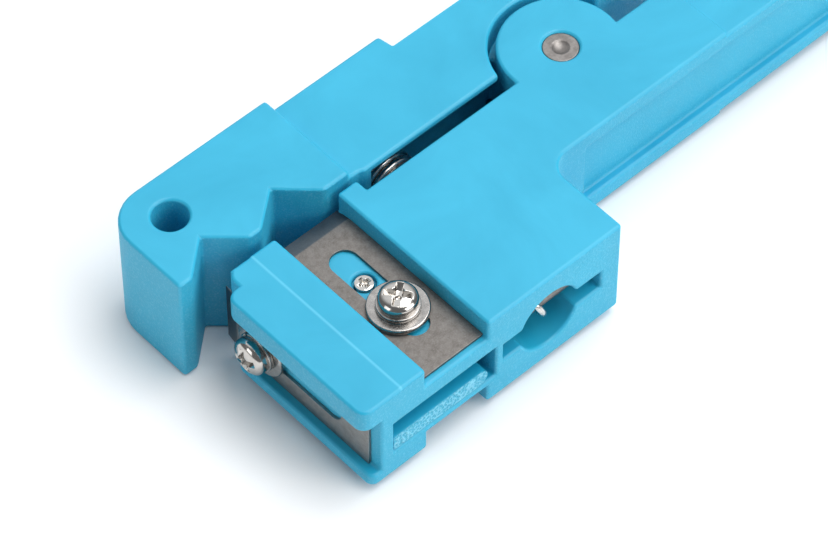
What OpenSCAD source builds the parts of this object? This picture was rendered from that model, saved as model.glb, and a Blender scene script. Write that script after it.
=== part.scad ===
// Cable jacket ringing and slitting stripper: a straight moulded body with two clamped
// razor blades, and a sprung lever whose double V jaw holds the cable against them.
// The tool lies on its flat side. +X runs from the jaws to the end of the handle,
// +Y from the body to the lever and +Z up through the thickness. Millimetres.

/* [Body] */
// Thickness of the body and of the lever's arm
body_t = 15.875; // [15.5:0.125:16]
// Width of the head and of the wide block behind it
head_w = 27.1; // [26.8:0.1:27.3]
// Distance from the front of the head to the shoulder behind the ring blade
shoulder_x = 19.05; // [19.05:0.05:19.3]
// Distance from the front of the head to the rear of the wide block
block_end = 41.3; // [40.5:0.1:42.5]
// Distance from the side of the wide block to the near edge of the handle
handle_y = 13; // [12.5:0.25:13.5]
// Width of the handle
handle_w = 11; // [10.5:0.25:11.25]
// Distance from the front of the head to the end of the handle
handle_end = 128; // [124:1:134]
// Radius of the two ears that hold the pivot pin
ear_r = 8.2; // [7.8:0.1:8.4]

/* [Lever] */
// Thickness of the jaw, a little more than that of the body
jaw_t = 18.2; // [17.6:0.1:18.6]
// Angle between the lever's tail and the handle
tail_angle = 12.5; // [12.5:0.5:15]
// Distance from the front of the head to the end of the tail
tail_end = 118; // [112:1:122]
// Width of the tail's rounded end
tail_w = 8.4; // [7.6:0.2:9]
// Diameter of the round hole through the jaw
jaw_hole_d = 4.76; // [4:0.02:5]

/* [Pins and spring] */
// Diameter of the pivot pin
pivot_d = 4.76; // [4.5:0.02:5]
// Diameter of the two cross pins that hold the spring's hooks
cross_pin_d = 2; // [1.8:0.1:2.2]
// Outer diameter of the spring
spring_d = 8.9; // [8.6:0.1:9.1]
// Diameter of the spring's wire
wire_d = 0.96; // [0.8:0.02:1]
// Number of turns in the spring
turns = 29; // [26:1:30]

/* [Blades and screws] */
// Length of each blade
blade_l = 26.1; // [25.6:0.1:26.4]
// Width of each blade
blade_w = 9.9; // [9.6:0.1:9.9]
// Thickness of each blade
blade_t = 0.45; // [0.3:0.05:0.5]
// Diameter of the screws' thread
screw_d = 2.84; // [2.5:0.02:2.9]
// Diameter of the screws' heads
head_d = 5.16; // [4.8:0.02:5.4]
// Outer diameter of the flat washers
washer_d = 7.94; // [7:0.02:8]

/* [Hidden] */

plastic = [0.30, 0.78, 0.93];
steel = [0.62, 0.60, 0.58];
nickel = [0.80, 0.80, 0.81];
through = 60;                           // longer than any cut needs
eps = 0.01;

// Levels, counted from the plane that the jaw lies on
base_z = (jaw_t - body_t) / 2;          // underside of the body
top_z = base_z + body_t;
mid_z = jaw_t / 2;

// Head: lip in front of the ring blade, foot below it, seats for both blades
lip_x = 8.85;                           // front wall of the ring blade's recess
lip_z = base_z + 12;                    // underside of the lip's nose
nose_x = -1.3;
nose_w = 24.6;
nose_r = 1.6;
nose_back = 1;
ring_seat_z = base_z + 12.63;
foot_x = 9.17;
foot_z = base_z + 3.1;
slit_seat_x = 1.7;
ledge_z = base_z + 2;
foot_r = 1.1;                            // front corners of the foot
parting_x = 5.15;                       // shallow step across the top of the lip
parting_h = 0.15;
parting_run = 0.45;                     // width of the slope down to the lower part
pad_x = 22.25;                          // the head's stop pad ends here
gap_y = 25.2;                           // edge of the block along the lever

// Side slot that takes the nuts, and the insert that traps them
slot_x = [3.8, 20.45];
slot_z = [base_z + 4.2, base_z + 9.7];
slot_depth = 24;
insert_x = 19.2;
insert_z = base_z + 6.85;
insert_y = 0.15;

// Spring pocket: a round bore across the tool, with a cross slot at each end
spring_x = 29.4;
spring_z = base_z + 7.65;
pocket_r = 4.75;
wing_x = [21.8, 38.1];
wing_h = 3.1;
body_pin_y = 3.2;
lever_pin_y = 40.4;
cross_pin_l = 14.6;
pin_r = cross_pin_d / 2;

// Pivot
pivot = [55.55, 25.7];
tongue_t = 7.9;
tongue_gap = 0.15;
tongue_r = 8;
fork_r = 8.7;                           // cut between the ears
arc_r = 9.2;                            // hollow of the lever round the ears
pivot_fit = 0.05;
pivot_sink = 0.25;
pivot_dimple_r = 2;
pivot_dimple_lift = 1.6;
fillet_r = 3;

// Handle
handle_step_x = 72.5;
handle_step = 0.5;
heel_x = 112;
heel_r = 4;
flange_t = 2.2;
groove_depth = 1.4;
near_groove = [48, 108];
far_groove = [70, 108];

// Lever
jaw_front = -5.1;
jaw_back = 21.8;
jaw_out_y = 43.45;
jaw_tip_y = 28.5;
jaw_heel_y = 27.85;
jaw_corner_r = 5.6;
arm_out_y = 42.4;
arm_step_x = 40;
arm_thin_y = 39.9;
arm_in_y = 27.5;
arm_in_x = 52;
channel_x = [25.2, 50];                 // channel in the arm's inner side
channel_wall = 1.3;
channel_depth = 5;
jaw_hole = [1.3, 37.6];
tail_root = [61.7, 27.757];
tail_r = tail_w / 2;
tail_dir = [cos(tail_angle), sin(tail_angle)];
tail_side = [-sin(tail_angle), cos(tail_angle)];
tail_run = (tail_end - tail_r - tail_root[0] - tail_r * tail_side[0]) / tail_dir[0];
tail_centre = tail_root + tail_run * tail_dir + tail_r * tail_side;

// Screws: the centre of each clamping screw, and the stack under its head
ring_screw_at = [13.97, 10.5];
ring_set_at = [13.97, 16.6];
slit_screw_y = 20.75;
slit_screw_z = base_z + 7;
washer_t = 0.8;
lock_t = 0.62;
lock_d = 5.6;
washer_hole_r = 1.6;
lock_hole_r = 1.5;
head_h = 2;
dome_r = 3.3;
screw_l = 6.8;
screw_hole_r = 1.6;
stack = blade_t + washer_t + lock_t;
ring_blade_at = [9.1, 0.95, ring_seat_z];
slit_blade_at = [slit_seat_x, 1.9, ledge_z];
slot_in_blade = [4.85, 21.15];          // ends of a blade's slot, from its blunt end
slot_w = 3.9;
bevel_l = 2.5;
edge_t = 0.06;
nut_t = 2.38;
ring_nut_w = 6.35;
slit_nut_w = 4.76;
thread_gap = 0.05;
set_r = 1.22;
set_top_z = ring_seat_z - 0.12;
set_l = 2.6;
set_sink_r = 1.55;
set_sink = 0.9;

// The origin is under the middle of the tool's outer box, on the plane it lies on
origin = [(jaw_front + handle_end) / 2, (tail_centre[1] + tail_r) / 2, 0];

function arc(c, r, from, to, n = 8) =
    [for (i = [0 : n]) c + r * [cos(from + (to - from) * i / n), sin(from + (to - from) * i / n)]];

module placed() {
    translate(-origin) children();
}

// A box between two corners
module block(low, high) {
    translate(low) cube(high - low);
}

// A plate of a plan outline, centred on the tool's mid-plane
module plate(thickness) {
    translate([0, 0, mid_z]) linear_extrude(thickness, center = true) children();
}

// ---- Body ----

module body_plan() {
    polygon(concat(
        [[0, 0], [block_end, 0]],
        arc([block_end + fillet_r, handle_y - fillet_r], fillet_r, 180, 90),
        [[handle_step_x, handle_y], [handle_step_x, handle_y + handle_w],
         [pivot[0], handle_y + handle_w], [pivot[0], gap_y],
         [pad_x, gap_y], [pad_x, head_w], [0, head_w]]));
    translate(pivot) circle(ear_r, $fn = 96);
}

module handle_plan() {
    polygon(concat(
        [[handle_step_x - eps, handle_y]],
        arc([handle_end - heel_r, handle_y + heel_r], heel_r, -90, 0),
        arc([handle_end - heel_r, handle_y + handle_w - heel_r], heel_r, 0, 90),
        [[handle_step_x - eps, handle_y + handle_w]]));
}

// Lip whose rounded nose overhangs the slitting blade
module lip() {
    translate([0, 0, lip_z]) linear_extrude(top_z - lip_z) {
        polygon(concat(
            [[lip_x, 0], [lip_x, head_w]],
            arc([nose_back + nose_r, head_w - nose_r], nose_r, 90, 180),
            [[nose_back, 0]]));
        nose_plan(nose_x, nose_r);
    }
}

// Narrow front strip of the lip or of the foot, rounded at both ends
module nose_plan(front_x, corner_r) {
    polygon(concat(
        [[slit_seat_x, 0]],
        arc([front_x + corner_r, corner_r], corner_r, 270, 180),
        arc([front_x + corner_r, nose_w - corner_r], corner_r, 180, 90),
        [[slit_seat_x, nose_w]]));
}

// A shallow groove along one side of the handle, between its two flanges
module handle_groove(ends, y) {
    block([ends[0], y, base_z + handle_step + flange_t],
          [ends[1], y + groove_depth + 1, top_z - handle_step - flange_t]);
}

module blade_seats() {
    block([lip_x, -1, ring_seat_z], [shoulder_x, through, top_z + 1]);
    block([foot_x, -1, base_z - 1], [shoulder_x, through, foot_z]);
    block([-5, -1, -1], [slit_seat_x, through, top_z + 1]);
}

module screw_holes() {
    translate([ring_screw_at[0], ring_screw_at[1], slot_z[1] - 1])
        cylinder(h = 6, r = screw_hole_r, $fn = 48);
    translate([slit_seat_x - 1, slit_screw_y, slit_screw_z]) rotate([0, 90, 0])
        cylinder(h = 4, r = screw_hole_r, $fn = 48);
    translate([ring_set_at[0], ring_set_at[1], slot_z[1] - 1]) {
        cylinder(h = 6, r = set_r + thread_gap, $fn = 48);
        translate([0, 0, ring_seat_z - slot_z[1] + 1 - set_sink]) cylinder(h = 3, r = set_sink_r, $fn = 48);
    }
}

module spring_bore(radius) {
    translate([spring_x, -1, spring_z]) rotate([-90, 0, 0]) cylinder(h = through, r = radius, $fn = 96);
}

// Cross slot in which a spring pin lies, from y_low to y_high
module pin_slot(y_low, y_high) {
    block([wing_x[0], y_low, spring_z - wing_h / 2], [wing_x[1], y_high, spring_z + wing_h / 2]);
}

module body() {
    color(plastic) placed() difference() {
        union() {
            lip();
            translate([0, 0, base_z]) linear_extrude(ledge_z - base_z) nose_plan(0, foot_r);
            trunk();
        }
        lowered_nose();
    }
}

// Takes the front of the lip's top down by a gentle slope
module lowered_nose() {
    translate([0, through, 0]) rotate([90, 0, 0]) linear_extrude(through + 1)
        polygon([[-5, top_z - parting_h], [parting_x - parting_run, top_z - parting_h],
                 [parting_x, top_z], [parting_x, top_z + 1], [-5, top_z + 1]]);
}

// Everything behind the head's front face
module trunk() {
    difference() {
        union() {
            plate(body_t) body_plan();
            plate(body_t - 2 * handle_step) handle_plan();
            plate(jaw_t) intersection() {
                handle_plan();
                translate([heel_x, 0]) square(through);
            }
        }
        blade_seats();
        block([slot_x[0], -1, slot_z[0]], [slot_x[1], slot_depth, slot_z[1]]);
        screw_holes();
        spring_bore(pocket_r);
        pin_slot(-1, body_pin_y + pin_r);
        plate(tongue_t + 2 * tongue_gap) translate(pivot) circle(fork_r, $fn = 96);
        plate(through) translate(pivot) circle(pivot_d / 2, $fn = 64);
        handle_groove(near_groove, handle_y - 1);
        handle_groove(far_groove, handle_y + handle_w - groove_depth);
    }
}

// Strip pushed into the side slot; its notch traps the slitting blade's nut
module slot_insert() {
    nut_r = slit_nut_w / 2;
    color(plastic) placed() difference() {
        union() {
            block([slot_x[0], insert_y, slot_z[0]], [insert_x - 1.3, slot_depth, insert_z]);
            translate([insert_x - 1.3, insert_y, (slot_z[0] + insert_z) / 2]) rotate([-90, 0, 0])
                cylinder(h = slot_depth - insert_y, d = insert_z - slot_z[0], $fn = 48);
        }
        block([slot_x[0] - 1, slit_screw_y - nut_r - 0.1, slit_screw_z - nut_r - 0.1],
              [slot_x[0] + screw_l, slit_screw_y + nut_r + 0.1, top_z]);
    }
}

// ---- Pins and spring ----

module pivot_pin() {
    length = body_t - 2 * pivot_sink;
    color(steel) placed() translate([pivot[0], pivot[1], mid_z]) difference() {
        cylinder(h = length, d = pivot_d, center = true, $fn = 64);
        for (side = [-1, 1])
            translate([0, 0, side * (length / 2 + pivot_dimple_lift)]) sphere(pivot_dimple_r, $fn = 64);
    }
}

module cross_pin(y) {
    color(steel) placed() translate([(wing_x[0] + wing_x[1] - cross_pin_l) / 2, y, spring_z])
        rotate([0, 90, 0]) cylinder(h = cross_pin_l, d = cross_pin_d, $fn = 48);
}

module body_spring_pin() {
    cross_pin(body_pin_y);
}

module lever_spring_pin() {
    cross_pin(lever_pin_y);
}

// Close-wound coil along Y with an open hook round each pin. Each ring of the sweep
// stands square to the path.
coil_r = (spring_d - wire_d) / 2;
pitch = wire_d * 1.06;
coil_low = (body_pin_y + lever_pin_y - turns * pitch) / 2;
hook_r = pin_r + wire_d / 2 + 0.25;
hook_lean = 0.8;                        // sideways lean of each hook
turn_steps = 10;

function hook(y, side) = [for (a = [-105 : -33 : -270])
    [-hook_lean * sin(a), y + side * hook_r * cos(a), hook_r * sin(a)]];
function coil() = [for (i = [0 : turns * turn_steps])
    let (a = 360 * i / turn_steps)
    [coil_r * sin(a), coil_low + pitch * i / turn_steps, coil_r * cos(a)]];
function reversed(list) = [for (i = [len(list) - 1 : -1 : 0]) list[i]];

spring_path = concat(
    hook(body_pin_y, 1),
    [[0, coil_low - 1.4, 0.9 * coil_r]],
    coil(),
    [[0, coil_low + turns * pitch + 1.4, 0.9 * coil_r]],
    reversed(hook(lever_pin_y, -1)));

function unit(v) = v / norm(v);
function along(p, i) = unit(p[min(i + 1, len(p) - 1)] - p[max(i - 1, 0)]);

module tube(p, radius, sides = 6) {
    steps = len(p);
    points = [for (i = [0 : steps - 1])
        let (t = along(p, i),
             up = abs(t[1]) > 0.8 ? [1, 0, 0] : [0, 1, 0],
             u = unit(cross(up, t)), v = cross(t, u))
        for (k = [0 : sides - 1])
            p[i] + radius * (cos(360 * k / sides) * u + sin(360 * k / sides) * v)];
    walls = [for (i = [0 : steps - 2]) for (k = [0 : sides - 1])
        let (n = (k + 1) % sides)
        [i * sides + k, (i + 1) * sides + k, (i + 1) * sides + n, i * sides + n]];
    caps = [[for (k = [0 : sides - 1]) k],
            [for (k = [sides - 1 : -1 : 0]) (steps - 1) * sides + k]];
    polyhedron(points, concat(walls, caps), convexity = 10);
}

module return_spring() {
    color(nickel) placed() translate([spring_x, 0, spring_z]) tube(spring_path, wire_d / 2);
}

// ---- Lever ----

module jaw_plan() {
    polygon(concat(
        [[jaw_front, jaw_tip_y], [-3, jaw_tip_y], [1.8, 32.6], [6.2, jaw_tip_y],
         [8.1, jaw_tip_y], [13, 32.4], [17.7, jaw_heel_y], [jaw_back, jaw_heel_y],
         [jaw_back, jaw_out_y]],
        arc([jaw_front + jaw_corner_r, jaw_out_y - jaw_corner_r], jaw_corner_r, 90, 180)));
}

module arm_plan() {
    polygon([[jaw_back - eps, jaw_heel_y], [23.4, jaw_heel_y], [24, arm_in_y],
        [arm_in_x, arm_in_y], tail_root, tail_centre - tail_r * tail_side,
        tail_centre, tail_centre + tail_r * tail_side,
        [64, arm_thin_y], [arm_step_x + 0.2, arm_thin_y], [arm_step_x - 0.2, arm_out_y],
        [jaw_back - eps, arm_out_y]]);
    translate(tail_centre) circle(tail_r, $fn = 64);
}

// Shallow grooves across the thumb's side of the tail
module thumb_grooves() {
    for (i = [1 : 7])
        plate(through) translate(tail_centre + (tail_r + 0.35) * tail_side - i * 2.6 * tail_dir)
            circle(0.85, $fn = 24);
}

module lever() {
    color(plastic) placed() difference() {
        union() {
            plate(jaw_t) jaw_plan();
            difference() {
                plate(body_t) arm_plan();
                for (side = [-1, 1])
                    translate([pivot[0], pivot[1], mid_z + side * (tongue_t / 2 + through / 2)])
                        cylinder(h = through, r = arc_r, center = true, $fn = 96);
            }
            plate(tongue_t) translate(pivot) circle(tongue_r, $fn = 96);
        }
        plate(through) translate(jaw_hole) circle(jaw_hole_d / 2, $fn = 64);
        plate(through) translate(pivot) circle(pivot_d / 2 + pivot_fit, $fn = 64);
        spring_bore(pocket_r);
        pin_slot(lever_pin_y - pin_r, through);
        thumb_grooves();
        block([channel_x[0], arm_in_y - 1, base_z + channel_wall],
              [channel_x[1], arm_in_y + channel_depth, top_z - channel_wall]);
    }
}

// ---- Blades, screws, washers and nuts ----

// Slotted blade lying flat, its edge towards +Y and its bevel on top
module blade() {
    color(steel) difference() {
        rotate([90, 0, 90]) linear_extrude(blade_w) polygon([[0, 0], [blade_l, 0],
            [blade_l, edge_t], [blade_l - bevel_l, blade_t], [0, blade_t]]);
        translate([blade_w / 2, 0, -1]) linear_extrude(3) {
            translate([-slot_w / 2, slot_in_blade[0] + slot_w / 2])
                square([slot_w, slot_in_blade[1] - slot_in_blade[0] - slot_w]);
            for (y = [slot_in_blade[0] + slot_w / 2, slot_in_blade[1] - slot_w / 2])
                translate([0, y]) circle(slot_w / 2, $fn = 48);
        }
    }
}

// Pan head screw standing on its head's underside, with a cross recess
module pan_screw() {
    color(nickel) difference() {
        union() {
            intersection() {
                cylinder(h = head_h, d = head_d, $fn = 64);
                translate([0, 0, head_h - dome_r]) sphere(dome_r, $fn = 64);
            }
            translate([0, 0, -screw_l]) cylinder(h = screw_l + eps, d = screw_d, $fn = 48);
        }
        cross_recess(3, 0.75, head_h);
    }
}

module cross_recess(length, width, top) {
    for (turn = [0, 90])
        rotate(turn) translate([-length / 2, -width / 2, top - 1.1]) cube([length, width, 2]);
}

module washer(outer_d, hole_r, thickness) {
    color(nickel) difference() {
        cylinder(h = thickness, d = outer_d, $fn = 64);
        translate([0, 0, -1]) cylinder(h = thickness + 2, r = hole_r, $fn = 48);
    }
}

module lock_washer() {
    color(nickel) difference() {
        washer(lock_d, lock_hole_r, lock_t);
        rotate(35) translate([0, -0.25, -1]) cube([lock_d, 0.5, 3]);
    }
}

module square_nut(width) {
    color(nickel) difference() {
        translate([-width / 2, -width / 2, 0]) cube([width, width, nut_t]);
        translate([0, 0, -1]) cylinder(h = nut_t + 2, r = screw_d / 2 + thread_gap, $fn = 48);
    }
}

// Puts a piece on the ring blade's screw axis, at a height over its seat
module on_ring(height) {
    placed() translate([ring_screw_at[0], ring_screw_at[1], ring_seat_z + height]) children();
}

// The same for the slitting blade, whose seat faces forward
module on_slit(height) {
    placed() translate([slit_seat_x - height, slit_screw_y, slit_screw_z]) rotate([0, -90, 0]) children();
}

module ring_blade() {
    placed() translate(ring_blade_at) blade();
}

module ring_blade_screw() {
    on_ring(stack) pan_screw();
}

module ring_lock_washer() {
    on_ring(blade_t + washer_t) lock_washer();
}

module ring_flat_washer() {
    on_ring(blade_t) washer(washer_d, washer_hole_r, washer_t);
}

module ring_blade_nut() {
    on_ring(slot_z[1] - ring_seat_z - nut_t) square_nut(ring_nut_w);
}

module ring_set_screw() {
    color(nickel) placed() translate([ring_set_at[0], ring_set_at[1], set_top_z]) difference() {
        translate([0, 0, -set_l]) cylinder(h = set_l, r = set_r, $fn = 48);
        cross_recess(1.5, 0.4, 0.4);
    }
}

module slitting_blade() {
    placed() translate(slit_blade_at) rotate([0, -90, 0]) blade();
}

module slitting_blade_screw() {
    on_slit(stack) pan_screw();
}

module slitting_lock_washer() {
    on_slit(blade_t + washer_t) lock_washer();
}

module slitting_flat_washer() {
    on_slit(blade_t) washer(washer_d, washer_hole_r, washer_t);
}

module slitting_blade_nut() {
    on_slit(slit_seat_x - slot_x[0] - nut_t) square_nut(slit_nut_w);
}

body();
slot_insert();
pivot_pin();
body_spring_pin();
lever();
lever_spring_pin();
return_spring();
ring_blade();
ring_blade_screw();
ring_lock_washer();
ring_flat_washer();
ring_blade_nut();
ring_set_screw();
slitting_blade();
slitting_blade_screw();
slitting_lock_washer();
slitting_flat_washer();
slitting_blade_nut();
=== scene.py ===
"""Cable jacket ringing and slitting stripper: two razor blades clamped to a moulded blue body,
with a sprung lever that pulls a double V jaw towards them."""

import math

import bmesh
import bpy
from mathutils import Matrix, Vector


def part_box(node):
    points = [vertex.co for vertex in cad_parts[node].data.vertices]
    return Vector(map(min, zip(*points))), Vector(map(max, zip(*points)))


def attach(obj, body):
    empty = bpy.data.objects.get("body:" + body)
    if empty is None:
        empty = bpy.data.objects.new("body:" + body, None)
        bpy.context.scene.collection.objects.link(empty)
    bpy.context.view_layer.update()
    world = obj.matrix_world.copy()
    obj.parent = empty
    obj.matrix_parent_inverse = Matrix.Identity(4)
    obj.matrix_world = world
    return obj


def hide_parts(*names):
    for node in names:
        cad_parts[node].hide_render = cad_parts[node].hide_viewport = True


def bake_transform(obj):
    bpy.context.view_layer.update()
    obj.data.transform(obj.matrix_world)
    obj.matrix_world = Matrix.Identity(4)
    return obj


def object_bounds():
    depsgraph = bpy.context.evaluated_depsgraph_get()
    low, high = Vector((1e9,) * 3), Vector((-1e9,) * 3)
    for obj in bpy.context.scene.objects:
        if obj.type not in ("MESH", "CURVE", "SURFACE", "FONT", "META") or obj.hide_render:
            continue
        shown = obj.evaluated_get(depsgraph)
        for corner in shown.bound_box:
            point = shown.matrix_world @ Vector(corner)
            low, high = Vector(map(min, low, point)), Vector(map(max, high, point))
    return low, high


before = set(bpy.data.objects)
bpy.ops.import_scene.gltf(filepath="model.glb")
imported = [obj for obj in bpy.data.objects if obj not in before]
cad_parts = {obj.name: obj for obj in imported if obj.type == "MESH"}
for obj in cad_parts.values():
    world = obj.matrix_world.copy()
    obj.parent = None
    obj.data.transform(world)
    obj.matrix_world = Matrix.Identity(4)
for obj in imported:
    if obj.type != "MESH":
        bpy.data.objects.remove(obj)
cad_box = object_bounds()
MM = 0.001


# ---- Table top and light ----
# The tool lies on its flat side on a seamless white board, in a dim room with one bright window
# high up behind it. Broad soft lamps hang overhead and stand low in front, and a weak one stands
# at the left.
BOARD_SIZE = 8.0
BOARD_MOTTLE = 9.0
BOARD_WHITES = ((0.93, 0.94, 0.95), (0.96, 0.96, 0.96))
ROOM_TINT = (0.94, 0.97, 1.0, 1)
WINDOW_WAY = (0.413, 0.449, 0.793)
WINDOW_RIM = (0.55, 0.92)
ROOM_STRENGTH = (0.20, 1.15)


def feed(tree, socket, source):
    """Links a socket to another one, or sets its value."""
    if isinstance(source, bpy.types.NodeSocket):
        tree.links.new(source, socket)
    else:
        socket.default_value = source


def add_node(tree, kind, **inputs):
    """A node with its inputs fed. An underscore stands for a space in an input's name."""
    made = tree.nodes.new(kind)
    for name, source in inputs.items():
        feed(tree, made.inputs[name.replace("_", " ")], source)
    return made


def calculate(tree, operation, *sources, kind="ShaderNodeMath", result="Value"):
    """The result of a maths node. Each source is a number, a vector or a socket."""
    made = tree.nodes.new(kind)
    made.operation = operation
    for socket, source in zip(made.inputs, sources):
        feed(tree, socket, source)
    return made.outputs[result]


def stretch_range(tree, value, from_low, from_high, to_low=0.0, to_high=1.0):
    """Maps a value from one range to another, clamped."""
    return add_node(tree, "ShaderNodeMapRange", Value=value, From_Min=from_low,
                    From_Max=from_high, To_Min=to_low, To_Max=to_high).outputs["Result"]


def mix_colour(tree, factor, low, high):
    """A colour mix. Low and high are each a colour or a socket, and factor a socket."""
    mix = tree.nodes.new("ShaderNodeMix")
    mix.data_type = "RGBA"
    feed(tree, mix.inputs["Factor"], factor)
    for name, source in (("A", low), ("B", high)):
        feed(tree, mix.inputs[name], (*source, 1) if isinstance(source, tuple) else source)
    return mix.outputs["Result"]


def new_finish(name, **settings):
    """A material, its node tree, and its shader with the settings given."""
    finish = bpy.data.materials.new(name)
    finish.use_nodes = True
    shader = finish.node_tree.nodes["Principled BSDF"]
    for setting, value in settings.items():
        shader.inputs[setting.replace("_", " ")].default_value = value
    return finish, finish.node_tree, shader


def set_up(name, data, place, look):
    """Puts a lamp or a camera in its place, looking along a direction."""
    holder = bpy.data.objects.new(name, data)
    bpy.context.scene.collection.objects.link(holder)
    holder.location = place
    holder.rotation_euler = Vector(look).to_track_quat("-Z", "Y").to_euler()
    return holder


def soft_lamp(name, place, aim, width, height, power, tint):
    lamp = bpy.data.lights.new(name, "AREA")
    lamp.shape = "RECTANGLE"
    lamp.size = width
    lamp.size_y = height
    lamp.energy = power
    lamp.color = tint
    set_up(name, lamp, place, Vector(aim) - Vector(place))


bpy.ops.mesh.primitive_plane_add(size=BOARD_SIZE, location=(0, 0, cad_box[0].z))
board = bpy.context.object
board.name = "board"
white_board, board_tree, board_shader = new_finish("white_board", Roughness=0.9,
                                                   Specular_IOR_Level=0.1)
board_mottle = add_node(board_tree, "ShaderNodeTexNoise", Scale=BOARD_MOTTLE)
board_white = mix_colour(board_tree, board_mottle.outputs["Fac"], *BOARD_WHITES)
feed(board_tree, board_shader.inputs["Base Color"], board_white)
board.data.materials.append(white_board)

soft_lamp("overhead_lamp", place=(0.30, -0.20, 1.0), aim=(0, 0, 0),
          width=0.9, height=0.7, power=8.0, tint=(1.0, 1.0, 1.0))
soft_lamp("front_lamp", place=(0.25, -0.75, 0.45), aim=(0, 0, 0.01),
          width=0.7, height=0.5, power=4.2, tint=(1.0, 0.99, 0.98))
soft_lamp("left_lamp", place=(-0.8, 0.1, 0.35), aim=(-0.05, 0, 0.01),
          width=0.4, height=0.5, power=1.2, tint=(0.96, 0.98, 1.0))

room = bpy.data.worlds.new("room")
bpy.context.scene.world = room
room.use_nodes = True
room_tree = room.node_tree
room_light = room_tree.nodes["Background"].inputs
room_way = room_tree.nodes.new("ShaderNodeTexCoord").outputs["Generated"]
toward_window = calculate(room_tree, "DOT_PRODUCT", room_way, WINDOW_WAY,
                          kind="ShaderNodeVectorMath")
window_glow = stretch_range(room_tree, toward_window, *WINDOW_RIM, *ROOM_STRENGTH)
window_glow.node.interpolation_type = "SMOOTHSTEP"
feed(room_tree, room_light["Color"], ROOM_TINT)
feed(room_tree, room_light["Strength"], window_glow)
bpy.context.scene.view_settings.view_transform = "Standard"


# ---- Camera ----
# A long lens looks down over the head at a little more than fifty degrees, with the handle
# running out of the picture behind it.
LENS = 191.74
CAMERA_PLACE = (-0.26288, -0.250395, 0.43785)
CAMERA_LOOK = (0.41279, 0.44875, -0.79261)
camera_data = bpy.data.cameras.new("camera")
camera_data.lens = LENS
camera_data.sensor_width = 36.0
camera_data.clip_start = 0.05
camera_data.clip_end = 20.0
bpy.context.scene.camera = set_up("camera", camera_data, CAMERA_PLACE, CAMERA_LOOK)


# ---- Moulded body ----
# One injection moulding in a glossy blue plastic: head, wide block and handle. The mould leaves
# small radii on every edge, polished upper and lower faces, and a fine spark texture on the sides.
FLAT_WITHIN = math.radians(1)    # faces of one flat region differ by less
FACING_BACK = -0.3               # cosine under which two edges face one another
STRAIGHT_ACROSS = 0.7            # cosine over which a gap runs straight across a face
RUNNING_ON = -0.88               # cosine under which one edge carries on from another
EDGE_REACH = 2.5                 # a face is narrow if it is under this many radii wide
EDGE_SHARE = 0.42                # the part of a narrow face that one rounded edge may take
JOIN_WITHIN = 0.002 * MM
WHOLE_FACE_ANGLE = math.radians(0.6)
SMOOTH_ANGLE = math.radians(40)


def deselect_all():
    bpy.ops.object.select_all(action="DESELECT")


def select_only(piece):
    deselect_all()
    piece.select_set(True)
    bpy.context.view_layer.objects.active = piece


def apply_modifier(piece, kind, **settings):
    """Changes the active piece for good with one modifier."""
    modifier = piece.modifiers.new(kind.lower(), kind)
    for setting, value in settings.items():
        setattr(modifier, setting, value)
    bpy.ops.object.modifier_apply(modifier=modifier.name)


def flat_regions(shape):
    """For each face, the border of its flat region, as pairs of an edge and the face inside it."""
    regions = {}
    for first in shape.faces:
        if first in regions:
            continue
        members, waiting = {first}, [first]
        while waiting:
            for edge in waiting.pop().edges:
                for face in edge.link_faces:
                    if face not in members and face.normal.angle(first.normal) < FLAT_WITHIN:
                        members.add(face)
                        waiting.append(face)
        border = [(edge, face) for face in members for edge in face.edges
                  if not all(beside in members for beside in edge.link_faces)]
        for face in members:
            regions[face] = border
    return regions


def inward(edge, face):
    """Across the face and away from one of its edges."""
    for loop in face.loops:
        if loop.edge is edge:
            run = loop.link_loop_next.vert.co - loop.vert.co
            return face.normal.cross(run).normalized()


def nearest(point, start, end):
    """The point of a straight stretch that lies nearest to another point."""
    run = end - start
    share = max(0.0, min(1.0, (point - start).dot(run) / run.length_squared))
    return start + share * run


def room_beside(edge, face, border, reach):
    """How far a flat region runs in from one of its edges before it meets one that faces it."""
    start, end = (vert.co for vert in edge.verts)
    across = inward(edge, face)
    room = reach
    for other, other_face in border:
        touching = set(other.verts) & set(edge.verts)
        if touching or inward(other, other_face).dot(across) > FACING_BACK:
            continue
        a, b = (vert.co for vert in other.verts)
        pairs = [(here, nearest(here, a, b)) for here in (start, end)]
        pairs += [(nearest(there, start, end), there) for there in (a, b)]
        for here, there in pairs:
            gap = there - here
            if 0 < gap.length < room and gap.dot(across) > STRAIGHT_ACROSS * gap.length:
                room = gap.length
    return room


def even_out(edges, share):
    """Gives edges that run on from one another the smallest share among them."""
    pairs = []
    for edge in edges:
        for vert in edge.verts:
            away = (edge.other_vert(vert).co - vert.co).normalized()
            for other in vert.link_edges:
                run = (other.other_vert(vert).co - vert.co).normalized()
                if other is not edge and other in edges and away.dot(run) < RUNNING_ON:
                    pairs.append((edge, other))
    changed = True
    while changed:
        changed = False
        for edge, other in pairs:
            if edge[share] > other[share]:
                edge[share] = other[share]
                changed = True


def round_edges(piece, radius, segments=2, corner=25):
    """Rounds the edges that turn by more than corner, in degrees, and less on a narrow face."""
    shape = bmesh.new()
    shape.from_mesh(piece.data)
    share = shape.edges.layers.float.new("bevel_weight_edge")
    regions = flat_regions(shape)
    turn = math.radians(corner)
    sharp = {edge for edge in shape.edges if edge.is_manifold and edge.calc_face_angle() > turn}
    for edge in sharp:
        room = min(room_beside(edge, face, regions[face], EDGE_REACH * radius)
                   for face in edge.link_faces)
        edge[share] = min(1.0, EDGE_SHARE * room / radius)
    even_out(sharp, share)
    shape.to_mesh(piece.data)
    shape.free()
    apply_modifier(piece, "BEVEL", width=radius, segments=segments, limit_method="WEIGHT",
                   use_clamp_overlap=False, loop_slide=False)


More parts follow.
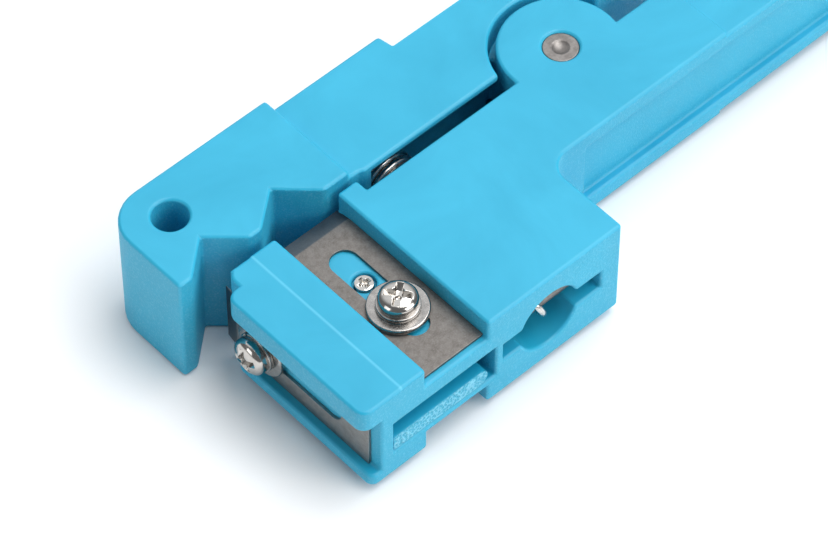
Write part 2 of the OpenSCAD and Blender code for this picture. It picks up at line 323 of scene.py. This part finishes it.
def flat_shaded(piece):
    """Keeps the shading of the flat faces flat right up to the rounded edges."""
    bpy.ops.object.shade_smooth_by_angle(angle=SMOOTH_ANGLE)
    apply_modifier(piece, "WEIGHTED_NORMAL", weight=100, keep_sharp=True)


def joined_copy(node, name):
    """A copy of a CAD node with its loose triangles joined into whole faces."""
    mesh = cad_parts[node].data.copy()
    mesh.name = name
    mesh.materials.clear()
    piece = bpy.data.objects.new(name, mesh)
    bpy.context.scene.collection.objects.link(piece)
    select_only(piece)
    bpy.ops.object.mode_set(mode="EDIT")
    bpy.ops.mesh.select_all(action="SELECT")
    bpy.ops.mesh.remove_doubles(threshold=JOIN_WITHIN)
    bpy.ops.mesh.dissolve_limited(angle_limit=WHOLE_FACE_ANGLE)
    bpy.ops.object.mode_set(mode="OBJECT")
    return piece


def stands_for(piece, node, body, finish):
    """Gives a piece its finish, and has it stand for a CAD node and move with a body."""
    piece.data.materials.clear()
    piece.data.materials.append(finish)
    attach(piece, body)
    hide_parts(node)


def softened(node, name, radius, body, finish, segments=2):
    """The CAD node again, with rounded edges and its finish."""
    piece = joined_copy(node, name)
    round_edges(piece, radius, segments)
    flat_shaded(piece)
    stands_for(piece, node, body, finish)


def new_group(name, inputs, outputs):
    """An empty node group, with the sockets that lead in and the ones that lead out."""
    group = bpy.data.node_groups.new(name, "ShaderNodeTree")
    for way, sockets in (("INPUT", inputs), ("OUTPUT", outputs)):
        for socket, kind in sockets:
            group.interface.new_socket(socket, in_out=way, socket_type="NodeSocket" + kind)
    start = group.nodes.new("NodeGroupInput")
    end = group.nodes.new("NodeGroupOutput")
    return group, start.outputs, end.inputs


def use_group(tree, group, **inputs):
    """The outputs of a node group in a material, with its inputs fed."""
    made = tree.nodes.new("ShaderNodeGroup")
    made.node_tree = group
    for name, source in inputs.items():
        feed(tree, made.inputs[name], source)
    return made.outputs


def edge_shine_group():
    """How strongly a point lies on a rounded edge: 0 on a flat face, 1 on the turn of the edge."""
    group, given, made = new_group("edge_shine", (("Radius", "Float"), ("Gain", "Float")),
                                   (("Edge", "Float"),))
    turned = add_node(group, "ShaderNodeBevel", Radius=given["Radius"])
    turned.samples = 4
    straight = group.nodes.new("ShaderNodeNewGeometry").outputs["True Normal"]
    likeness = calculate(group, "DOT_PRODUCT", turned.outputs["Normal"], straight,
                         kind="ShaderNodeVectorMath")
    edge = calculate(group, "MULTIPLY", calculate(group, "SUBTRACT", 1.0, likeness),
                     given["Gain"])
    edge.node.use_clamp = True
    feed(group, made["Edge"], edge)
    return group


edge_shine = edge_shine_group()
DEEP_BLUE = (0.004, 0.345, 0.540)
FLOW_BLUE = (0.018, 0.415, 0.630)
# Paler tint for the upright faces: a painted sheen
UPRIGHT_SHEEN_BLUE = (0.035, 0.430, 0.640)
# Paler tint for the rounded edges: both wear and a painted highlight
EDGE_WEAR_AND_HIGHLIGHT_BLUE = (0.10, 0.56, 0.79)
FLECK_BLUE = (0.24, 0.66, 0.84)
# Paler tint for the parting line: a painted highlight
PARTING_HIGHLIGHT_BLUE = (0.16, 0.64, 0.84)


def blue_plastic_material(name, grain):
    """Grain says which texture makes the matt surface of the upright faces, and how high."""
    finish, tree, shader = new_finish(
        name, IOR=1.56, Subsurface_Weight=0.10, Subsurface_Radius=(0.3, 0.8, 1.0),
        Subsurface_Scale=1.2 * MM)
    where = tree.nodes.new("ShaderNodeTexCoord").outputs

    # Faces that stand upright carry the texture of the mould
    facing = add_node(tree, "ShaderNodeSeparateXYZ", Vector=where["Normal"])
    side = stretch_range(tree, calculate(tree, "ABSOLUTE", facing.outputs["Z"]), 0.8, 0.4)
    texture = add_node(tree, grain["kind"], Vector=where["Object"], Scale=grain["scale"])
    rise = calculate(tree, "MULTIPLY", texture.outputs[grain["output"]], side)

    # Colour: flow marks, then a paler tint on the upright faces, which is a painted sheen, then a
    # paler tint on the rounded edges, which is both wear and a painted highlight, then pale flecks
    flow = add_node(tree, "ShaderNodeTexNoise", Vector=where["Object"], Scale=60.0, Detail=4.0,
                    Roughness=0.6, Distortion=0.8).outputs["Fac"]
    edge = use_group(tree, edge_shine, Radius=0.4 * MM, Gain=1.6)["Edge"]
    blue = DEEP_BLUE
    for share, tint in ((stretch_range(tree, flow, 0.3, 0.7), FLOW_BLUE),
                        (stretch_range(tree, side, 0, 1, 0, 0.4), UPRIGHT_SHEEN_BLUE),
                        (stretch_range(tree, edge, 0, 1, 0, 0.55), EDGE_WEAR_AND_HIGHLIGHT_BLUE),
                        (stretch_range(tree, rise, *grain["fleck"]), FLECK_BLUE)):
        blue = mix_colour(tree, share, blue, tint)
    feed(tree, shader.inputs["Base Color"], blue)

    # A faint waviness, with the grain on top
    wave = add_node(tree, "ShaderNodeTexNoise", Vector=where["Object"], Scale=220.0, Detail=2.0)
    wavy = add_node(tree, "ShaderNodeBump", Strength=1.0, Distance=0.03 * MM,
                    Height=wave.outputs["Fac"])
    grained = add_node(tree, "ShaderNodeBump", Strength=1.0, Distance=grain["height"],
                       Height=rise, Normal=wavy.outputs["Normal"])
    feed(tree, shader.inputs["Normal"], grained.outputs["Normal"])

    # Polish, with smears of handling
    polish = stretch_range(tree, side, 0, 1, 0.36, 0.48)
    feed(tree, shader.inputs["Roughness"], calculate(tree, "MULTIPLY_ADD", flow, 0.14, polish))
    return finish


def paint_over(tree, share, tint):
    """Lays a tint over the colour that a material has so far."""
    colour = tree.nodes["Principled BSDF"].inputs["Base Color"]
    feed(tree, colour, mix_colour(tree, share, colour.links[0].from_socket, tint))


spark_texture = {"kind": "ShaderNodeTexNoise", "output": "Fac", "scale": 4200.0,
                 "height": 0.07 * MM, "fleck": (0.5, 0.75, 0, 0.3)}
moulding_finish = blue_plastic_material("blue_moulding", spark_texture)

# The body also has a painted highlight in a thin line across the lip, where two halves of the mould
# met
PARTING_X = cad_box[0].x + 10.1 * MM
PARTING_LINE = (0.22 * MM, 0.05 * MM)
body_finish = blue_plastic_material("blue_body", spark_texture)
body_tree = body_finish.node_tree
along = add_node(body_tree, "ShaderNodeSeparateXYZ",
                 Vector=body_tree.nodes["Texture Coordinate"].outputs["Object"]).outputs
off_line = calculate(body_tree, "SUBTRACT", along["X"], PARTING_X)
on_line = stretch_range(body_tree, calculate(body_tree, "ABSOLUTE", off_line), *PARTING_LINE)
body_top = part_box("body")[1].z
high_up = stretch_range(body_tree, along["Z"], body_top - 1.6 * MM, body_top - 1.5 * MM, 0, 0.4)
# A painted highlight along the parting line, near the top face only
paint_over(body_tree, calculate(body_tree, "MULTIPLY", on_line, high_up), PARTING_HIGHLIGHT_BLUE)

MOULD_RADIUS = 0.45 * MM
softened("body", "moulded_body", MOULD_RADIUS, "handle_body", body_finish,
         segments=3)


# ---- Slot insert ----
# A strip of the same plastic pushed into the side slot, where it traps the slitting blade's nut.
# Its sawn edge stays coarse and sparkling.
SAWN_RADIUS = 0.12 * MM
saw_texture = {"kind": "ShaderNodeTexVoronoi", "output": "Distance", "scale": 2600.0,
               "height": 0.22 * MM, "fleck": (0.35, 0.75, 0, 0.8)}
insert_finish = blue_plastic_material("sawn_insert", saw_texture)
softened("slot_insert", "slot_insert_strip", SAWN_RADIUS, "handle_body",
         insert_finish)


# ---- Lever ----
# The second moulding: double V jaw, arm with its spring pocket, tongue in the body's fork, and the
# tail that the hand squeezes. It turns on the pivot pin.
softened("lever", "moulded_lever", MOULD_RADIUS, "lever", moulding_finish,
         segments=3)


# ---- Blades ----
# Two slotted razor blades of stamped carbon steel with a ground edge. The upper one cuts round the
# jacket and the one in front slits it lengthwise.
def metal_wear_group():
    """Mottling and fine drag marks of bare metal. Stretch is how fine the marks are each way."""
    group, given, made = new_group("metal_wear", (("Vector", "Vector"), ("Stretch", "Vector")),
                                   (("Mottle", "Float"), ("Marks", "Float")))
    mottle = add_node(group, "ShaderNodeTexNoise", Vector=given["Vector"], Scale=1100.0,
                      Detail=6.0, Roughness=0.7)
    drawn = calculate(group, "MULTIPLY", given["Vector"], given["Stretch"],
                      kind="ShaderNodeVectorMath", result="Vector")
    marks = add_node(group, "ShaderNodeTexNoise", Vector=drawn, Scale=1.0, Detail=3.0,
                     Roughness=0.6)
    feed(group, made["Mottle"], mottle.outputs["Fac"])
    feed(group, made["Marks"], marks.outputs["Fac"])
    return group


metal_wear = metal_wear_group()
EDGE_WEAR_AND_HIGHLIGHT = 1.7


def metal_material(name, dark, light, rough, stretch, mark_height):
    """Metal mottled between two greys, with drag marks in its polish and edges painted brighter, as
    both wear and a painted highlight.
    """
    finish, tree, shader = new_finish(name, Metallic=1.0)
    where = tree.nodes.new("ShaderNodeTexCoord").outputs["Object"]
    wear = use_group(tree, metal_wear, Vector=where, Stretch=stretch)
    edge = use_group(tree, edge_shine, Radius=0.12 * MM, Gain=2.5)["Edge"]
    # Edges painted brighter: partly wear, partly a painted highlight
    bright = tuple(EDGE_WEAR_AND_HIGHLIGHT * channel for channel in light)
    grey = mix_colour(tree, stretch_range(tree, wear["Mottle"], 0.35, 0.65), dark, light)
    grooves = add_node(tree, "ShaderNodeBump", Strength=1.0, Distance=mark_height,
                       Height=wear["Marks"])
    feed(tree, shader.inputs["Base Color"], mix_colour(tree, edge, grey, bright))
    feed(tree, shader.inputs["Roughness"], stretch_range(tree, wear["Marks"], 0.3, 0.7, *rough))
    feed(tree, shader.inputs["Normal"], grooves.outputs["Normal"])
    return finish


GROUND_BAND = 2.2 * MM
GROUND_GREY = (0.06, 0.09, 0.115)
SPECKLE_GREY = (0.30, 0.285, 0.27)
BLADE_RADIUS = 0.05 * MM


def blade_material(name, edge_y, dark, light):
    """Speckled steel with a darker band ground along the cutting edge, which lies at edge_y."""
    finish = metal_material(name, dark, light, rough=(0.36, 0.52), stretch=(9000, 900, 9000),
                            mark_height=0.006 * MM)
    tree = finish.node_tree
    where = tree.nodes["Texture Coordinate"].outputs["Object"]
    speckle = add_node(tree, "ShaderNodeTexNoise", Vector=where, Scale=5200.0, Detail=2.0)
    paint_over(tree, stretch_range(tree, speckle.outputs["Fac"], 0.5, 0.75, 0, 0.45),
               SPECKLE_GREY)
    place = add_node(tree, "ShaderNodeSeparateXYZ", Vector=where)
    ground = stretch_range(tree, place.outputs["Y"], edge_y - GROUND_BAND,
                           edge_y - 0.9 * GROUND_BAND, 0, 0.8)
    paint_over(tree, ground, GROUND_GREY)
    return finish


# Both blades are the same steel; the slitting blade gets lighter greys than the ring blade as
# painted light, for the brighter surroundings it reflects
for node, dark, light in (("ring_blade", (0.150, 0.136, 0.124), (0.220, 0.204, 0.190)),
                          ("slitting_blade", (0.26, 0.25, 0.24), (0.36, 0.345, 0.33))):
    blade_finish = blade_material(node + "_steel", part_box(node)[1].y, dark, light)
    softened(node, node + "_steel", BLADE_RADIUS, node, blade_finish)


# ---- Pins ----
# Plain ground steel pins. The pivot pin is pressed through the body's two ears, with a punched
# dimple in each end; the two thin ones lie across the pockets and hold the spring's hooks.
PIVOT_RADIUS = 0.18 * MM
THIN_PIN_RADIUS = 0.15 * MM
pin_finish = metal_material("pin_steel", dark=(0.19, 0.175, 0.165), light=(0.30, 0.28, 0.265),
                            rough=(0.38, 0.55), stretch=(2500, 2500, 2500),
                            mark_height=0.01 * MM)
for node, radius, body in (("pivot_pin", PIVOT_RADIUS, "handle_body"),
                           ("body_spring_pin", THIN_PIN_RADIUS, "handle_body"),
                           ("lever_spring_pin", THIN_PIN_RADIUS, "lever")):
    softened(node, node + "_steel", radius, body, pin_finish)


# ---- Clamping screws ----
# Nickel plated pan head machine screws with a cross recess and a rolled thread, one for each blade.
nickel_finish = metal_material("bright_nickel", dark=(0.50, 0.475, 0.445),
                               light=(0.58, 0.555, 0.525), rough=(0.09, 0.20),
                               stretch=(1600, 1600, 1600), mark_height=0.004 * MM)
HEAD_RADIUS = 2.58 * MM
HEAD_WALL = 0.76 * MM
HEAD_HEIGHT = 2.0 * MM
DOME_RINGS = 7
DOME_TURN = 86
DOME_SWELL = 0.85
THREAD_RADIUS = 1.42 * MM
THREAD_PITCH = 0.64 * MM
THREAD_DEPTH = 0.378 * THREAD_PITCH
THREAD_TIP = 0.82
SHANK_LENGTH = 6.8 * MM
WING_TAPER = (0.55, 0.68, 1)
WING_PROUD = 0.05 * MM
SCREW_EDGE = 0.05 * MM


def select_faces(piece, wanted):
    """In edit mode, selects only the faces whose centre and normal pass."""
    bpy.ops.mesh.select_mode(type="FACE")
    bpy.ops.mesh.select_all(action="DESELECT")
    shape = bmesh.from_edit_mesh(piece.data)
    for face in shape.faces:
        face.select_set(bool(wanted(face.calc_center_median(), face.normal)))
    bmesh.update_edit_mesh(piece.data)


def extrude_scaled(rise, scale):
    """Extrudes the selected cap along Z and resizes it."""
    bpy.ops.mesh.extrude_region_move(TRANSFORM_OT_translate={"value": (0, 0, rise)})
    bpy.ops.transform.resize(value=(scale, scale, 1))


def roll_thread(length, radius):
    """Draws the selected end face downwards as a ridged thread with a short plain tip."""
    valley = 1 - THREAD_DEPTH / radius
    turns = int(length / THREAD_PITCH) - 1
    for turn in range(turns):
        extrude_scaled(-0.5 * THREAD_PITCH, valley)
        extrude_scaled(-0.5 * THREAD_PITCH, 1 / valley)
    extrude_scaled(-(length - turns * THREAD_PITCH), THREAD_TIP)


def cut_away(piece, cutter):
    """Takes the cutter's shape out of the piece and removes the cutter."""
    select_only(piece)
    apply_modifier(piece, "BOOLEAN", operation="DIFFERENCE", solver="EXACT", object=cutter)
    bpy.data.objects.remove(cutter)


def cut_cross(piece, top, length, width, depth):
    """A cross recess with tapered wings that meet in a cone."""
    for turn in (0, 90):
        deselect_all()
        bpy.ops.mesh.primitive_cube_add(size=1)
        wing = bpy.context.object
        bpy.ops.object.mode_set(mode="EDIT")
        bpy.ops.transform.resize(value=(length, width, depth))
        select_faces(wing, lambda centre, normal: normal.z < -0.5)
        bpy.ops.transform.resize(value=WING_TAPER)
        bpy.ops.object.mode_set(mode="OBJECT")
        sunk = Matrix.Translation((0, 0, top + WING_PROUD - depth / 2))
        wing.data.transform(sunk @ Matrix.Rotation(math.radians(turn), 4, "Z"))
        cut_away(piece, wing)
    deselect_all()
    bpy.ops.mesh.primitive_cone_add(vertices=24, radius1=0.3 * width, radius2=0.95 * width,
                                    depth=1.3 * depth, location=(0, 0, top - 0.6 * depth))
    cut_away(piece, bpy.context.object)


def new_cylinder(name, radius, low, high, vertices):
    """An upright cylinder on the Z axis, from low to high."""
    deselect_all()
    bpy.ops.mesh.primitive_cylinder_add(vertices=vertices, radius=radius, depth=high - low,
                                        location=(0, 0, (low + high) / 2))
    piece = bpy.context.object
    piece.name = name
    piece.data.name = name
    bpy.ops.object.transform_apply(location=True, rotation=False, scale=False)
    return piece


def pan_screw():
    """One screw, with the underside of its head at the origin."""
    screw = new_cylinder("screw", HEAD_RADIUS, 0, HEAD_WALL, vertices=56)
    bpy.ops.object.mode_set(mode="EDIT")
    select_faces(screw, lambda centre, normal: normal.z > 0.5)
    radius, height = HEAD_RADIUS, HEAD_WALL
    for ring in range(1, DOME_RINGS + 1):
        turn = math.radians(DOME_TURN * ring / DOME_RINGS)
        new_radius = HEAD_RADIUS * math.cos(turn)
        new_height = HEAD_WALL + (HEAD_HEIGHT - HEAD_WALL) * math.sin(turn) ** DOME_SWELL
        extrude_scaled(new_height - height, new_radius / radius)
        radius, height = new_radius, new_height
    select_faces(screw, lambda centre, normal: normal.z < -0.5)
    bpy.ops.mesh.inset(thickness=HEAD_RADIUS - THREAD_RADIUS)
    roll_thread(SHANK_LENGTH, THREAD_RADIUS)
    bpy.ops.object.mode_set(mode="OBJECT")
    cut_cross(screw, HEAD_HEIGHT, length=4.2 * MM, width=1.05 * MM, depth=1.25 * MM)
    return screw


def copy_of(piece, name):
    """The same shape again under another name, as the active piece."""
    twin = piece.copy()
    twin.data = piece.data.copy()
    twin.name = name
    twin.data.name = name
    bpy.context.scene.collection.objects.link(twin)
    select_only(twin)
    return twin


def axis_of(node, forward):
    """From the origin to a node's foot on its own axis, which points up, or forward to the head."""
    low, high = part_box(node)
    middle = (low + high) / 2
    if forward:
        foot = Vector((high.x, middle.y, middle.z))
        return Matrix.Translation(foot) @ Matrix.Rotation(math.radians(-90), 4, "Y")
    return Matrix.Translation((middle.x, middle.y, low.z))


screw_model = pan_screw()
round_edges(screw_model, SCREW_EDGE, corner=35)
flat_shaded(screw_model)
shank_down = Matrix.Translation((0, 0, SHANK_LENGTH))
for node, body, forward, cross_turn in (("ring_blade_screw", "ring_screw", False, 38),
                                        ("slitting_blade_screw", "slitting_screw", True, 20)):
    screw = copy_of(screw_model, node + "_nickel")
    turned = Matrix.Rotation(math.radians(cross_turn), 4, "Z")
    screw.data.transform(axis_of(node, forward) @ shank_down @ turned)
    stands_for(screw, node, body, nickel_finish)
bpy.data.objects.remove(screw_model)


# ---- Set screw ----
# A short headless screw in the ring blade's seat, sunk a little below the blade, which steadies it.
SET_TOP = 0.3 * MM
SET_EDGE = 0.12 * MM
low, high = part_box("ring_set_screw")
set_radius = (high.x - low.x) / 2
set_screw = new_cylinder("set_screw_nickel", set_radius, -SET_TOP, 0, vertices=40)
bpy.ops.object.mode_set(mode="EDIT")
select_faces(set_screw, lambda centre, normal: normal.z < -0.5)
roll_thread(high.z - low.z - SET_TOP, set_radius)
bpy.ops.object.mode_set(mode="OBJECT")
cut_cross(set_screw, 0, length=1.75 * MM, width=0.55 * MM, depth=0.6 * MM)
round_edges(set_screw, SET_EDGE, corner=60)
flat_shaded(set_screw)
set_screw.data.transform(Matrix.Translation(((low.x + high.x) / 2, (low.y + high.y) / 2, high.z)))
stands_for(set_screw, "ring_set_screw", "ring_set_screw", nickel_finish)


# ---- Washers ----
# Under each head lies a split lock washer on a wider flat one, both stamped and nickel plated.
washer_finish = metal_material("washer_steel", dark=(0.32, 0.305, 0.29), light=(0.45, 0.43, 0.41),
                               rough=(0.16, 0.30), stretch=(2500, 2500, 2500),
                               mark_height=0.008 * MM)
RING_SIDES = 72
SPLIT_FROM = math.radians(35)


def ring_plate(name, outer, inner, thickness, gap_faces):
    """A flat ring lying on the origin, with some faces left out where it is split."""
    deselect_all()
    bpy.ops.mesh.primitive_circle_add(vertices=RING_SIDES, radius=outer, fill_type="NOTHING")
    ring = bpy.context.object
    ring.name = name
    ring.data.name = name
    bpy.ops.object.mode_set(mode="EDIT")
    bpy.ops.mesh.select_all(action="SELECT")
    bpy.ops.mesh.extrude_edges_move()
    bpy.ops.transform.resize(value=(inner / outer, inner / outer, 1))
    if gap_faces:
        split_to = SPLIT_FROM + gap_faces * math.radians(360 / RING_SIDES)
        select_faces(ring, lambda centre, normal:
                     SPLIT_FROM < math.atan2(centre.y, centre.x) < split_to)
        bpy.ops.mesh.delete(type="FACE")
    bpy.ops.mesh.select_all(action="SELECT")
    bpy.ops.mesh.normals_make_consistent(inside=False)
    bpy.ops.object.mode_set(mode="OBJECT")
    apply_modifier(ring, "SOLIDIFY", thickness=thickness, offset=0)
    ring.data.transform(Matrix.Translation((0, 0, thickness / 2)))
    return ring


def half_width(node):
    low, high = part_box(node)
    return (high.y - low.y) / 2


for kind, hole, thickness, gap, radius in (("flat", 1.6 * MM, 0.8 * MM, 0, 0.22 * MM),
                                           ("lock", 1.5 * MM, 0.62 * MM, 2, 0.12 * MM)):
    for blade, forward in (("ring", False), ("slitting", True)):
        node = f"{blade}_{kind}_washer"
        plate = ring_plate(node + "_nickel", half_width(node), hole, thickness, gap)
        round_edges(plate, radius, segments=3, corner=35)
        flat_shaded(plate)
        plate.data.transform(axis_of(node, forward))
        stands_for(plate, node, "handle_body", washer_finish)


# ---- Nuts ----
# A square nut for each clamping screw, dropped into the side slot where its walls stop it turning.
NUT_RADIUS = 0.18 * MM
for node in ("ring_blade_nut", "slitting_blade_nut"):
    softened(node, node + "_nickel", NUT_RADIUS, "handle_body", nickel_finish)


# ---- Return spring ----
# A close-wound extension spring of steel wire across the tool, its greys painted lighter than the
# steel as a painted highlight where the coil lies in shade. Its hooks hang on the two thin pins and
# pull the lever's jaw in.
WIRE = 0.48 * MM
COIL_TURNS = 29
COIL_PITCH = 1.018 * MM
COIL_STEPS = 20
LEAD = 1.4 * MM
LEAD_HEIGHT = 0.9
HOOK_GAP = 0.25 * MM
HOOK_LEAN = 0.8 * MM
HOOK_ANGLES = range(-105, -271, -11)
low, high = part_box("return_spring")
body_pin_low, body_pin_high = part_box("body_spring_pin")
lever_pin_low, lever_pin_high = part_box("lever_spring_pin")
near_pin = (body_pin_low + body_pin_high) / 2
far_pin = (lever_pin_low + lever_pin_high) / 2
axis_x = (low.x + high.x) / 2
axis_z = near_pin.z
coil_radius = (high.x - low.x) / 2 - WIRE
hook_radius = half_width("body_spring_pin") + WIRE + HOOK_GAP
coil_start = (near_pin.y + far_pin.y - COIL_TURNS * COIL_PITCH) / 2
coil_end = coil_start + COIL_TURNS * COIL_PITCH


def coil_point(step):
    turn = 2 * math.pi * step / COIL_STEPS
    return Vector((axis_x + coil_radius * math.sin(turn),
                   coil_start + COIL_PITCH * step / COIL_STEPS,
                   axis_z + coil_radius * math.cos(turn)))


def lead_point(y):
    """Where the wire comes in from the coil's top on its way to a hook."""
    return Vector((axis_x, y, axis_z + LEAD_HEIGHT * coil_radius))


def hook_points(pin_y, side):
    """Round a pin and up over it. Side is +1 where the coil lies at higher Y."""
    return [Vector((axis_x - HOOK_LEAN * math.sin(turn),
                    pin_y + side * hook_radius * math.cos(turn),
                    axis_z + hook_radius * math.sin(turn)))
            for turn in map(math.radians, HOOK_ANGLES)]


wire_points = (hook_points(near_pin.y, 1) + [lead_point(coil_start - LEAD)]
               + [coil_point(step) for step in range(COIL_TURNS * COIL_STEPS + 1)]
               + [lead_point(coil_end + LEAD)] + hook_points(far_pin.y, -1)[::-1])
wire_curve = bpy.data.curves.new("return_spring_wire", "CURVE")
wire_curve.dimensions = "3D"
wire_curve.bevel_depth = WIRE
wire_curve.bevel_resolution = 3
wire_curve.use_fill_caps = True
wire_line = wire_curve.splines.new("POLY")
wire_line.points.add(len(wire_points) - 1)
for point, place in zip(wire_line.points, wire_points):
    point.co = (*place, 1)
spring = bpy.data.objects.new("return_spring_wire", wire_curve)
bpy.context.scene.collection.objects.link(spring)
select_only(spring)
bpy.ops.object.convert(target="MESH")
spring = bpy.context.object
bpy.ops.object.shade_smooth_by_angle(angle=math.radians(50))
# The wire's greys are painted light: lighter than the steel, to stand in for light on a coil that
# lies in shade
spring_painted_light_finish = metal_material("spring_wire", dark=(0.52, 0.50, 0.47), light=(0.70, 0.68, 0.65),
                               rough=(0.18, 0.30), stretch=(1800, 1800, 1800),
                               mark_height=0.005 * MM)
spring.data.materials.append(spring_painted_light_finish)
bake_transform(spring)
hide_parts("return_spring")
